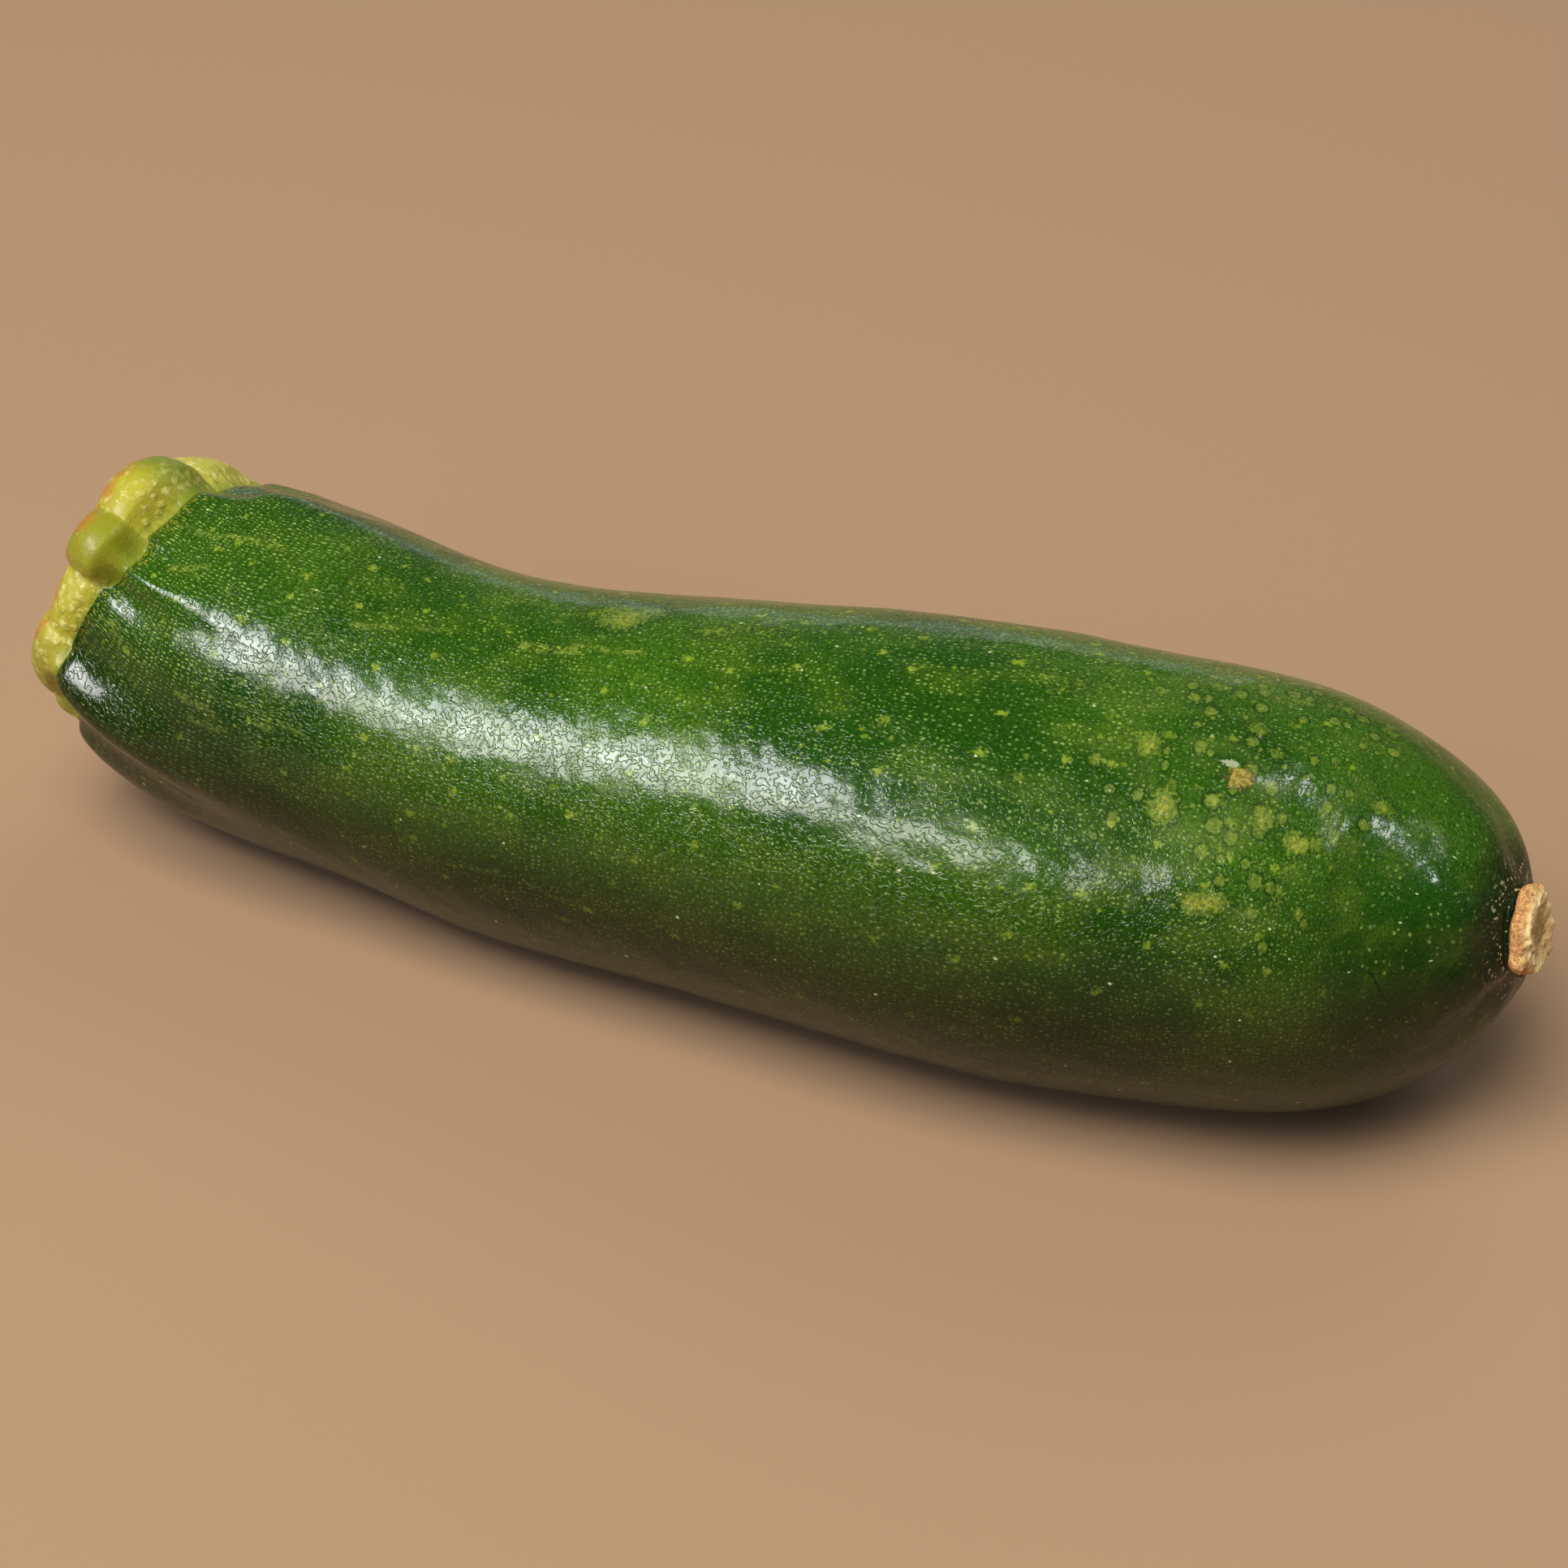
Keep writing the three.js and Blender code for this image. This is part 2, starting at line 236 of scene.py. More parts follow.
# ---- How finely the meshes are made ----
SIDES = 360  # of the fruit and the stem, so that their joint matches
FRUIT_STEPS = (52, 122, 84)  # over the shoulder, the barrel and the nose
SHOULDER_CROWDING = 1.5  # how closely the shoulder's rings crowd to the joint
FACE_RINGS = [0, 4.5, 9, 10.5, 12, 13.2, 14.5, 16, STEM_FACE_RADIUS]  # on the fruit's joint
STUB_FACE_RINGS = [16, 14.5, 13, 12, 10.5, 9, 4, 0]  # on the stub's
STEM_STEPS = 110
SCAR_SIDES = 220
SCAR_STEPS = 90
FINE_GAP = 0.04  # mm, at the joint, which looks grown together
LAY_RADIUS = 24  # mm, of the tube whose unrolled side the skin's speckles are laid out on
BAKE_MARGIN = 0.004  # share of the picture left free round the baked map


# ---- Small maths ----
def ease(x, low, high):
    """0 below low and 1 above high, with a smooth rise between."""
    t = np.clip((x - low) / (high - low), 0, 1)
    return t * t * (3 - 2 * t)


def mix(a, b, share):
    return a + (b - a) * share


def bell(x):
    """1 at 0, and nearly 0 from 3 on, either way."""
    return np.exp(-x * x / 2)


def turn_between(start, end):
    """The turn in radians from one angle to another, the short way round."""
    return np.arctan2(np.sin(end - start), np.cos(end - start))


class Bumps:
    """Smooth seeded bumps in space, from -1 to 1."""

    CELLS = 32  # each way before the bumps repeat
    OFFSET = 100  # cells, which only shifts where the bumps fall

    def __init__(self, seed):
        self.table = np.random.default_rng(seed).uniform(-1, 1, (self.CELLS,) * 3)

    def at(self, points, size):
        place = np.asarray(points) / size + self.OFFSET
        cell = np.floor(place).astype(int)
        part = place - cell
        part = part * part * (3 - 2 * part)
        total = 0
        for corner in np.ndindex(2, 2, 2):
            weight = 1
            for axis in range(3):
                near = part[..., axis] if corner[axis] else 1 - part[..., axis]
                weight = weight * near
            i, j, k = ((cell[..., axis] + corner[axis]) % self.CELLS for axis in range(3))
            total = total + weight * self.table[i, j, k]
        return total


def lumps(points, layers):
    return sum(height * Bumps(seed).at(points, size) for seed, size, height in layers)


# ---- The bowed middle line ----
def distances_along(line):
    return np.r_[0, np.cumsum(np.linalg.norm(np.diff(line, axis=0), axis=1))]


def sampled_line(points, steps=300):
    """Points close together on the curve through these, and their distances along it."""
    before = np.vstack([2 * points[0] - points[1], points[:-1]])
    after = np.vstack([points[1:], 2 * points[-1] - points[-2]])
    slope = (after - before) / 2
    t = np.linspace(0, 1, steps + 1)[:-1, None]
    pieces = []
    for p, q, m, n in zip(points[:-1], points[1:], slope[:-1], slope[1:]):
        start = (2 * t**3 - 3 * t**2 + 1) * p + (t**3 - 2 * t**2 + t) * m
        pieces.append(start + (t**3 - t**2) * n + (3 * t**2 - 2 * t**3) * q)
    line = np.vstack([*pieces, points[-1:]])
    return line, distances_along(line)


LINE, LINE_ALONG = sampled_line(CENTRE_LINE)
FRUIT_LENGTH = LINE_ALONG[-1]
LINE_ONWARD = np.gradient(LINE, LINE_ALONG, axis=0)


def bent(along, radius, angle):
    """The place in the frame of a point given by where it would be if the fruit were straight."""
    inside = np.clip(along, 0, FRUIT_LENGTH)
    centre, onward = (
        np.stack([np.interp(inside, LINE_ALONG, table[:, k]) for k in range(3)], -1)
        for table in (LINE, LINE_ONWARD)
    )
    onward = onward / np.linalg.norm(onward, axis=-1, keepdims=True)
    centre = centre + onward * (along - inside)[..., None]
    upward = np.array([0, 0, 1.0]) - onward * onward[..., 2:]
    upward = upward / np.linalg.norm(upward, axis=-1, keepdims=True)
    frontward = np.cross(onward, upward)
    place = centre + upward * (radius * np.cos(angle))[..., None]
    place = place + frontward * (radius * np.sin(angle))[..., None]
    place[..., 2] = np.maximum(place[..., 2], 0)
    return place


# ---- The fruit's skin ----
def girth(along):
    """The skin's plain radius at each distance along the line."""
    full = mix(NECK_RADIUS, BELLY_RADIUS, ease(along, SWELL_FROM, SWELL_TO))
    shoulder = np.clip(1 - along / SHOULDER_LENGTH, 0, 1)
    shouldered = mix(STEM_FACE_RADIUS, full, np.sqrt(1 - shoulder**SHOULDER_SLOPE))
    nose = np.clip(1 - (FRUIT_LENGTH - along) / NOSE_LENGTH, 0, 1)
    return shouldered * np.sqrt(1 - nose**NOSE_BLUNTNESS)


def at_place(along, angle, place):
    """How much of a round mark (along, round, length, width, ...) there is at each point."""
    ahead = (along - place[0]) / place[2]
    aside = turn_between(np.radians(place[1]), angle) * girth(along) / place[3]
    return bell(ahead) * bell(aside)


def relief(along, angle):
    """How far the skin stands off its plain radius."""
    height = 0
    for *_, crest, swing, width, ridge, reach in KNOBS:
        crest = np.radians(crest + swing * ease(along, 0, SWING_LENGTH))
        off = turn_between(crest, angle) * NECK_RADIUS / (width + RIDGE_WIDENING * along)
        height = height + ridge * (1 - ease(along, 0, reach)) * (1 - off * off / 2) * bell(off)
    near_scar = 1 - ease(FRUIT_LENGTH - along, 0, PUCKER_REACH)
    height = height + PUCKER_DEPTH * near_scar * np.cos(PUCKER_COUNT * angle + PUCKER_TURN)
    for place in UNEVEN_PLACES + DENTS:
        height = height + place[4] * at_place(along, angle, place)
    return height


def stub_at(angle):
    """At each angle round the stub: its bulge, foot, tip, how much of a knob it is, and which."""
    count = len(KNOBS)
    turns = [np.mod(angle - np.radians(knob[0]), 2 * np.pi) for knob in KNOBS]
    before = np.argmin(turns, axis=0)
    level, stands, bulge, foot = (np.zeros_like(angle) for _ in range(4))
    which = np.zeros(angle.shape, int)
    for i, (knob_round, half, knob_bulge, knob_foot, tip, *_) in enumerate(KNOBS):
        after = KNOBS[(i + 1) % count]
        pitch = np.radians((after[0] - knob_round) % 360)
        level = np.where(before == i, mix(tip, after[4], ease(turns[i] / pitch, 0, 1)), level)
        off = turn_between(np.radians(knob_round), angle) / np.radians(half)
        arch = np.sqrt(np.maximum(1 - off * off, 0))
        which = np.where(knob_bulge * arch > bulge, i, which)
        stands = np.maximum(stands, arch)
        bulge = np.maximum(bulge, knob_bulge * arch)
        foot = np.maximum(foot, knob_foot * arch)
    foot = foot + JOINT_SLANT * np.cos(angle - np.radians(JOINT_LONG_SIDE))
    return WEB_BULGE + bulge, foot, level - WEB_SETBACK * (1 - stands), stands, which


def foot_share(radius):
    """How far the joint follows the knobs' feet, from its flat middle to its edge."""
    return ease(radius, JOINT_FLAT_RADIUS, STEM_FACE_RADIUS)


def streaks_at(along, angle):
    """How much of a pale streak there is at each point."""
    total = 0
    for start, end, round_start, round_end, strength in STREAKS:
        share = np.clip((along - start) / (end - start), 0, 1)
        round_here = np.radians(mix(round_start, round_end, share))
        aside = turn_between(round_here, angle) * girth(along)
        past = along - mix(start, end, share)
        total = total + strength * bell(aside / STREAK_HALF_WIDTH) * bell(past / STREAK_FADES)
    return total


# ---- Mesh making ----
def closed_mesh(name, place, along):
    """A closed surface from rings of points; the first and last rings shrink to a point.

    It gets two maps: OFBake, which fills its picture, and lay, which is true to size on the skin:
    mm along, and mm round a tube of the lay radius.
    """
    rings, sides = place.shape[:2]
    points = place[1:-1].reshape(-1, 3)
    first_pole = len(points)
    points = np.vstack([points, place[0].mean(0), place[-1].mean(0)]) * METRES
    faces = []
    corner_ring, corner_side = [], []
    for j in range(sides):
        k = (j + 1) % sides
        faces.append((first_pole, k, j))
        corner_ring += [0, 1, 1]
        corner_side += [j + 0.5, j + 1, j]
    for i in range(rings - 3):
        low, high = i * sides, (i + 1) * sides
        for j in range(sides):
            k = (j + 1) % sides
            faces.append((low + j, low + k, high + k, high + j))
            corner_ring += [i + 1, i + 1, i + 2, i + 2]
            corner_side += [j, j + 1, j + 1, j]
    last = (rings - 3) * sides
    for j in range(sides):
        k = (j + 1) % sides
        faces.append((last + j, last + k, first_pole + 1))
        corner_ring += [rings - 2, rings - 2, rings - 1]
        corner_side += [j, j + 1, j + 0.5]
    mesh = bpy.data.meshes.new(name)
    mesh.from_pydata(points.tolist(), [], faces)
    mesh.update()
    mesh.shade_smooth()
    corner_ring, corner_side = np.array(corner_ring), np.array(corner_side, float)
    ring_at = distances_along(place[:, 0])
    bake = np.stack([ring_at[corner_ring] / ring_at[-1], corner_side / sides], -1)
    bake = BAKE_MARGIN + (1 - 2 * BAKE_MARGIN) * bake
    lay = np.stack([along[corner_ring], (corner_side / sides - 0.5) * 2 * np.pi * LAY_RADIUS], -1)
    for map_name, corners in (("OFBake", bake), ("lay", lay)):
        mesh.uv_layers.new(name=map_name).data.foreach_set("uv", corners.ravel())
    mesh.uv_layers.active = mesh.uv_layers["OFBake"]
    obj = bpy.data.objects.new(name, mesh)
    bpy.context.collection.objects.link(obj)
    return obj


def give(obj, name, values):
    """Stores a value or a vector for each vertex, from the same rings the mesh was made of."""
    values = np.asarray(values, float)
    vector = values.ndim == 3
    flat = values[1:-1].reshape(-1, 3) if vector else values[1:-1].ravel()
    ends = [values[0].mean(0), values[-1].mean(0)]
    flat = np.vstack([flat, *ends]) if vector else np.r_[flat, ends]
    kind, field = ("FLOAT_VECTOR", "vector") if vector else ("FLOAT", "value")
    layer = obj.data.attributes.new(name, kind, "POINT")
    layer.data.foreach_set(field, flat.ravel())


def angles(sides):
    """From the underside all the way round, so that the seam lies underneath."""
    return -np.pi + 2 * np.pi * np.arange(sides) / sides


def smooth_outline(points, steps):
    """An outline through these rows of numbers, at many more points."""
    points = np.array(points, float)
    line, along = sampled_line(points, 60)
    spots = np.linspace(0, along[-1], steps)
    return np.stack([np.interp(spots, along, line[:, k]) for k in range(line.shape[1])], -1)


# ---- The fruit ----
def make_fruit():
    """From the middle of the face that the stub grows on to the middle of the scar's seat."""
    nose_start = FRUIT_LENGTH - NOSE_LENGTH
    shoulder, barrel, nose = FRUIT_STEPS
    nose_turn = np.arange(1, nose + 1) / nose * np.pi / 2
    skin = np.concatenate(
        [
            SHOULDER_LENGTH * (np.arange(1, shoulder + 1) / shoulder) ** SHOULDER_CROWDING,
            np.linspace(SHOULDER_LENGTH, nose_start, barrel + 1)[1:],
            mix(nose_start, FRUIT_LENGTH - SKIN_STOPS, np.sin(nose_turn)),
        ]
    )
    face = np.array(FACE_RINGS)
    sunk = FRUIT_LENGTH - SCAR_FACE_DEPTH
    seat = np.array(
        [
            (SCAR_FACE_RADIUS + SCAR_LIP, FRUIT_LENGTH - SCAR_FACE_DEPTH / 3),
            (SCAR_FACE_RADIUS, sunk),
            (SCAR_FACE_RADIUS / 2, sunk),
            (0, sunk),
        ]
    )
    ring_radius = np.concatenate([face, girth(skin), seat[:, 0]])
    ring_along = np.concatenate([0 * face, skin, seat[:, 1]])
    radius, angle = np.meshgrid(ring_radius, angles(SIDES), indexing="ij")
    along = ring_along[:, None] + 0 * angle
    straight = np.stack([along, radius * np.cos(angle), radius * np.sin(angle)], -1)

    on_skin = ease(radius, SCAR_FACE_RADIUS, SCAR_FACE_RADIUS + RELIEF_STARTS) * (along > 0)
    stands = relief(along, angle)
    for seed, size, height in SKIN_LUMPS:
        stands = stands + height * Bumps(seed).at(straight, size)
    by_scar = 1 - ease(FRUIT_LENGTH - along, 0, SCAR_BORDER)
    seed, size, height = SEAT_LUMPS
    stands = stands + height * by_scar * Bumps(seed).at(straight * SEAT_STRETCH, size)
    foot = stub_at(angle)[1]
    giving_way = np.clip(1 - along / FOOT_REACH, 0, 1) ** 2
    share = np.where(along > 0, giving_way, foot_share(radius))
    place = bent(along + foot * share, radius + on_skin * stands, angle)

    obj = closed_mesh("courgette_skin", place, ring_along)
    # how strong the painted shade is round the fruit: full at the front, less underneath, least at
    # the back
    painted_shade_front = 1 - PAINTED_SHADE_FRONT_LEAD + PAINTED_SHADE_FRONT_LEAD * np.sin(angle)
    blotches = sum(p[4] * at_place(along, angle, p) for p in BLOTCHES)
    spotted = sum(at_place(along, angle, p) for p in SPOTTED)
    give(obj, "straight", straight)
    give(obj, "blotch", np.clip(blotches, 0, 1))
    give(obj, "spotted", np.clip(spotted, 0, 1))
    give(obj, "streak", np.clip(streaks_at(along, angle), 0, 1))
    give(obj, "scab", at_place(along, angle, SCAB))
    give(obj, "chip", at_place(along, angle, CHIP))
    give(obj, "by_stub", 1 - ease(along, 0, STUB_BORDER))
    give(obj, "by_scar", by_scar)
    # under: the painted shade, darkest round the lower side
    give(obj, "under", ease(np.abs(np.degrees(angle)), PAINTED_SHADE_STARTS, PAINTED_SHADE_FULL) * painted_shade_front)
    return obj


# ---- Colours ----
def srgb(red, green, blue):
    """The linear numbers that Blender takes for a colour given from 0 to 255."""
    channels = np.array([red, green, blue]) / 255
    return np.where(channels <= 0.04045, channels / 12.92, ((channels + 0.055) / 1.055) ** 2.4)


GREEN_DEEP = srgb(32, 72, 6)
GREEN_LIGHT = srgb(58, 98, 12)
GREEN_CLOUD = srgb(84, 112, 18)
GREEN_NECK = srgb(20, 58, 6)
GREEN_GRAIN = srgb(16, 46, 2)
PAINTED_SHADE_FACTORS = (0.34, 0.22, 0.22)  # what is left of the green under the painted shade on the underside
DOT_GREEN = srgb(152, 182, 92)
FLECK_GREEN = srgb(138, 160, 46)
FLAKE_WHITE = srgb(206, 214, 184)
STREAK_GREEN = srgb(152, 168, 66)
SPOT_RIM = srgb(22, 46, 4)
SPOT_GREEN = srgb(126, 142, 50)
BLOTCH_RIM = srgb(26, 52, 6)
BLOTCH_GREEN = srgb(120, 138, 44)
BLOTCH_HEART = srgb(176, 166, 72)
HAZE_GREEN = srgb(90, 112, 42)
SCAB_RIM = srgb(66, 56, 14)
SCAB_BROWN = srgb(112, 98, 28)
SCAB_TAN = srgb(152, 136, 58)
# the chip's grey-white, partly a painted glint on the raised scab
CHIP_AND_GLINT_GREY = srgb(148, 158, 124)
SCRATCH_TAN = srgb(140, 136, 78)
CUT_DARK = srgb(12, 22, 4)
BORDER_DARK = srgb(24, 44, 6)
BORDER_YELLOW = srgb(146, 152, 42)
SCAR_BORDER_DARK = srgb(16, 24, 6)
CRUMB_TAN = srgb(172, 154, 112)

WEB_TINT = srgb(174, 167, 50)
KNOB_TINTS = [  # in the order of KNOBS
    srgb(118, 126, 32),
    srgb(137, 139, 29),
    srgb(160, 154, 48),
    srgb(160, 162, 50),
    srgb(158, 158, 46),
    srgb(186, 180, 68),
]
PEBBLY = [0.4, 0.1, 0.8, 0.6, 0.6, 1.0]  # how much paler lumps show on each knob
HOLLOW_OLIVE = srgb(150, 148, 22)
PEBBLE_CREAM = srgb(226, 220, 136)
STUB_DOT_CREAM = srgb(226, 222, 160)
FOOT_GREEN = srgb(104, 122, 18)
FLESH_GREEN = srgb(150, 156, 84)
FLESH_CREAM = srgb(200, 202, 138)
BUNDLE_GREEN = srgb(112, 122, 52)
DRIED_ORANGE = srgb(178, 118, 44)

CORK_TAN = srgb(204, 164, 100)
CORK_CREAM = srgb(226, 196, 136)
CORE_OLIVE = srgb(140, 126, 80)
SIDE_BROWN = srgb(158, 92, 44)
SIDE_TAN = srgb(216, 164, 98)
RIDGE_CREAM = srgb(238, 214, 160)
PIT_BROWN = srgb(96, 60, 30)

FLOOR_TAN = srgb(160, 129, 99)


# ---- The stem stub ----
def make_stem():
    """From the middle of the cut, over its edge and down the side, to the middle of the joint."""
    # [radius, share of the length, share of the bulge]
    outline = [
        [0, 0.88, 0],
        [4, 0.88, 0],
        [8.5, 0.91, 0.1],
        [11.2, 0.97, 0.3],
        [12.8, 1.0, 0.5],
        [13.9, 0.98, 0.7],
        [14.8, 0.91, 0.88],
        [15.6, 0.78, 1.04],
        [16.2, 0.6, 1.12],
        [16.5, 0.42, 1.08],
        [16.7, 0.25, 0.95],
        [16.8, 0.1, 0.8],
        [STEM_FACE_RADIUS, 0, 0],
    ]
    in_mm = (1, MIDDLE_TIP, 1)
    side = smooth_outline(np.array(outline) * in_mm, STEM_STEPS) / in_mm
    side[:, 1] = np.maximum(side[:, 1], 0)
    rows = np.vstack([side, [[radius, 0, 0] for radius in STUB_FACE_RINGS]])
    on_side = (np.arange(len(rows)) < len(side))[:, None]
    angle = angles(SIDES)
    bulge, foot, tip, is_knob, which = stub_at(angle)
    radius, share, bulging = (rows[:, k][:, None] + 0 * angle for k in range(3))
    angle = angle + 0 * radius
    cut = mix(MIDDLE_TIP, tip, ease(radius, 0, MIDDLE_RADIUS))
    along = mix(foot * foot_share(radius), -cut, share) - FINE_GAP
    fruit_edge = STEM_FACE_RADIUS + relief(0 * angle, angle)
    lobed = radius + bulging * bulge
    wide = np.where(on_side, mix(fruit_edge, lobed, ease(share, 0, JOINT_BLEND)), radius)
    straight = np.stack([along, wide * np.cos(angle), wide * np.sin(angle)], -1)
    shown_side = ease(radius, *LUMPS_START) * on_side * ease(share, 0, 0.15)
    wide = wide + shown_side * lumps(straight, STUB_LUMPS) * (1 - KNOB_CALM * is_knob)
    on_cut = (1 - ease(radius, *CUT_ENDS)) * (share > 0.5)
    seed, size, height = STUB_CUT_LUMPS
    along = along - on_cut * height * Bumps(seed).at(straight * CUT_STRETCH, size)
    obj = closed_mesh("courgette_stem", bent(along, wide, angle), along.mean(1))

    tinted = ease(is_knob, *KNOB_TINTED)
    # the first knob is green on its far side alone
    far_side = 1 - ease(np.degrees(angle[0]), *FIRST_KNOB_YELLOWS)
    tinted = tinted * np.where(which == 0, far_side, 1)
    tint = mix(WEB_TINT, np.array(KNOB_TINTS)[which], tinted[:, None])
    give(obj, "straight", straight)
    give(obj, "tint", tint[None] + 0 * radius[..., None])
    give(obj, "pebbly", mix(1, np.array(PEBBLY)[which], tinted) + 0 * radius)
    give(obj, "cut", on_cut)
    give(obj, "rim", ease(share, *DRIED_SHARES) * ease(radius, *DRIED_RADII))
    give(obj, "ring", bell((radius - BUNDLE_RING) / BUNDLE_RING_WIDTH) * on_cut)
    give(obj, "foot", (1 - ease(share, 0, GREEN_FOOT)) * on_side)
    return obj


# ---- The blossom scar ----
def make_scar():
    """From the middle of the joint, up the side, to the middle of the hollow top."""
    # [share of the radius, share of the height]
    outline = [
        [0, 0],
        [0.5, 0],
        [0.9, 0],
        [1.0, 0.15],
        [1.02, 0.4],
        [0.95, 0.72],
        [0.82, 0.95],
        [0.7, 1.0],
        [0.55, 0.93],
        [0.3, 0.86],
        [0, 0.84],
    ]
    rows = smooth_outline(np.array(outline) * (SCAR_RADIUS, SCAR_HEIGHT), SCAR_STEPS)
    angle = angles(SCAR_SIDES)
    base = FRUIT_LENGTH - SCAR_FACE_DEPTH + JOINT_GAP
    radius, height = (rows[:, k][:, None] + 0 * angle for k in range(2))
    height = np.maximum(height, 0)
    angle = angle + 0 * radius
    # three broad lobes and seven small ones
    radius = radius * (1 + 0.08 * np.cos(3 * angle + 1) + 0.05 * np.cos(7 * angle))
    share = radius / SCAR_RADIUS
    straight = np.stack([height, radius * np.cos(angle), radius * np.sin(angle)], -1)
    rough = ease(height, 0, 0.3) * lumps(straight, SCAR_LUMPS)
    place = bent(
        base + height + rough * ease(share, 0.1, 0.5) * 0.8,
        radius + rough * ease(share, 0.3, 0.8),
        angle,
    )
    obj = closed_mesh("courgette_scar", place, rows[:, 0])
    give(obj, "straight", straight)
    give(obj, "ridge", bell((share - 0.74) / 0.1) * ease(height, 1.6, 2.1))
    give(obj, "side", 1 - ease(height, 1.2, 2.1))
    give(obj, "core", 1 - ease(share, 0.2, 0.5))
    return obj


# ---- Shader building ----
class Shader:
    """A material's nodes, wired by short calls. Any input may be a socket or a plain value."""

    def __init__(self, name):
        self.material = bpy.data.materials.new(name)
        self.material.use_nodes = True
        self.tree = self.material.node_tree
        self.principled = self.tree.nodes["Principled BSDF"]

    def put(self, kind, settings=None, **inputs):
        node = self.tree.nodes.new(kind)
        for key, value in (settings or {}).items():
            setattr(node, key, value)
        for key, value in inputs.items():
            self.plug(node.inputs[key.replace("_", " ")], value)
        return node

    def plug(self, socket, value):
        if isinstance(value, bpy.types.NodeSocket):
            self.tree.links.new(value, socket)
        else:
            socket.default_value = value

    def attribute(self, name, field="Fac"):
        return self.put("ShaderNodeAttribute", {"attribute_name": name}).outputs[field]

    def math(self, operation, first, second=0.0, clamp=False):
        node = self.put("ShaderNodeMath", {"operation": operation, "use_clamp": clamp})
        self.plug(node.inputs[0], first)
        self.plug(node.inputs[1], second)
        return node.outputs[0]

    def plus(self, first, second):
        return self.math("ADD", first, second)

    def times(self, first, second):
        return self.math("MULTIPLY", first, second)

    def vector(self, operation, first, second):
        node = self.put("ShaderNodeVectorMath", {"operation": operation})
        self.plug(node.inputs[0], first)
        self.plug(node.inputs[1], second)
        scalar = operation in ("LENGTH", "DISTANCE", "DOT_PRODUCT")
        return node.outputs["Value" if scalar else 0]

    def stretched(self, where, factors):
        return self.vector("MULTIPLY", where, factors)

    def between(self, value, low, high, to_low=0.0, to_high=1.0):
        """A smooth change from to_low to to_high as the value goes from low to high."""
        node = self.put(
            "ShaderNodeMapRange", {"interpolation_type": "SMOOTHSTEP"},
            Value=value, From_Min=low, From_Max=high, To_Min=to_low, To_Max=to_high,
        )
        return node.outputs[0]

    def frayed(self, value, noise, amount):
        """A mark's value with noise on it, so that its edge comes out ragged."""
        return self.plus(value, self.times(noise, amount))

    def blend(self, share, first, second):
        """Two colours mixed: the first where share is 0, the second where it is 1."""
        node = self.put("ShaderNodeMix", {"data_type": "RGBA"})
        self.plug(node.inputs[0], share)
        for i, colour in ((6, first), (7, second)):
            is_socket = isinstance(colour, bpy.types.NodeSocket)
            self.plug(node.inputs[i], colour if is_socket else (*colour, 1))
        return node.outputs[2]

    def either(self, share, first, second):
        """Two plain numbers mixed: the first where share is 0, the second where it is 1."""
        node = self.put("ShaderNodeMix")
        for i, value in ((0, share), (2, first), (3, second)):
            self.plug(node.inputs[i], value)
        return node.outputs[0]

    def noise(self, where, size, detail=2.0, roughness=0.5):
        """Soft noise with features about size mm across."""
        node = self.put(
            "ShaderNodeTexNoise", Vector=where, Scale=1 / size, Detail=detail, Roughness=roughness
        )
        return node.outputs[0]

    def wander(self, where, scale, reach):
        """A soft random shift of each place, scale bends to the mm, within half of reach."""
        node = self.put("ShaderNodeTexNoise", Vector=where, Scale=scale, Detail=0.0)
        return self.stretched(self.vector("SUBTRACT", node.outputs[1], (0.5, 0.5, 0.5)), reach)

    def specks(self, where, cell, dot, scatter, flat=True):
        """Scattered specks, one to a cell: how near each point is to its speck's middle, 1 at its
        edge, and three random numbers of that speck."""
        scaled = self.stretched(where, tuple(1 / size for size in cell))
        node = self.put(
            "ShaderNodeTexVoronoi", {"voronoi_dimensions": "2D" if flat else "3D"},
            Vector=scaled, Scale=1.0, Randomness=scatter,
        )
        apart = self.vector("SUBTRACT", scaled, node.outputs["Position"])
        apart = self.stretched(apart, tuple(c / d for c, d in zip(cell, dot)))
        random = self.put("ShaderNodeSeparateColor", Color=node.outputs["Color"])
        return self.vector("LENGTH", apart, (0, 0, 0)), random.outputs

    def round_specks(self, where, cell, dot):
        """The same, all alike in each direction and through the depth of the thing."""
        return self.specks(where, (cell,) * 3, (dot,) * 3, 1.0, flat=False)

    def near_line(self, where, start, end):
        """The distance in mm from a line drawn on the skin between two (along, round) places."""
        a, b = (np.array([at[0], np.radians(at[1]) * LAY_RADIUS, 0]) for at in (start, end))
        line = b - a
        away = self.vector("SUBTRACT", where, tuple(a))
        share = self.vector("DOT_PRODUCT", away, tuple(line / (line @ line)))
        on_line = self.math("ADD", share, 0.0, clamp=True)
        reach = self.put("ShaderNodeVectorMath", {"operation": "SCALE"}, Scale=on_line)
        reach.inputs[0].default_value = tuple(line)
        return self.vector("DISTANCE", away, reach.outputs[0])

    def lines(self, where, marks):
        """1 on any of these (start, end, width) lines, and 0 off them."""
        total = 0.0
        for start, end, width in marks:
            near = self.near_line(where, start, end)
            on_it = self.between(near, 0.4 * width, 1.1 * width, 1, 0)
            total = self.math("MAXIMUM", total, on_it)
        return total

    def bump(self, height, distance, over=None):
        """The surface's direction with bumps this many mm high, laid over others if given."""
        under = {} if over is None else {"Normal": over}
        node = self.put(
            "ShaderNodeBump", Height=height, Distance=distance * METRES, Strength=1.0, **under
        )
        return node.outputs[0]

    def finish(self, **inputs):
        for key, value in inputs.items():
            self.plug(self.principled.inputs[key.replace("_", " ")], value)
        return self.material


# ---- Materials ----
DASHES_END = (14, 50)  # mm along, over which dashes give way to dots
NOSE_MARKS = (22, 11)  # mm from the blossom end, over which the marks change


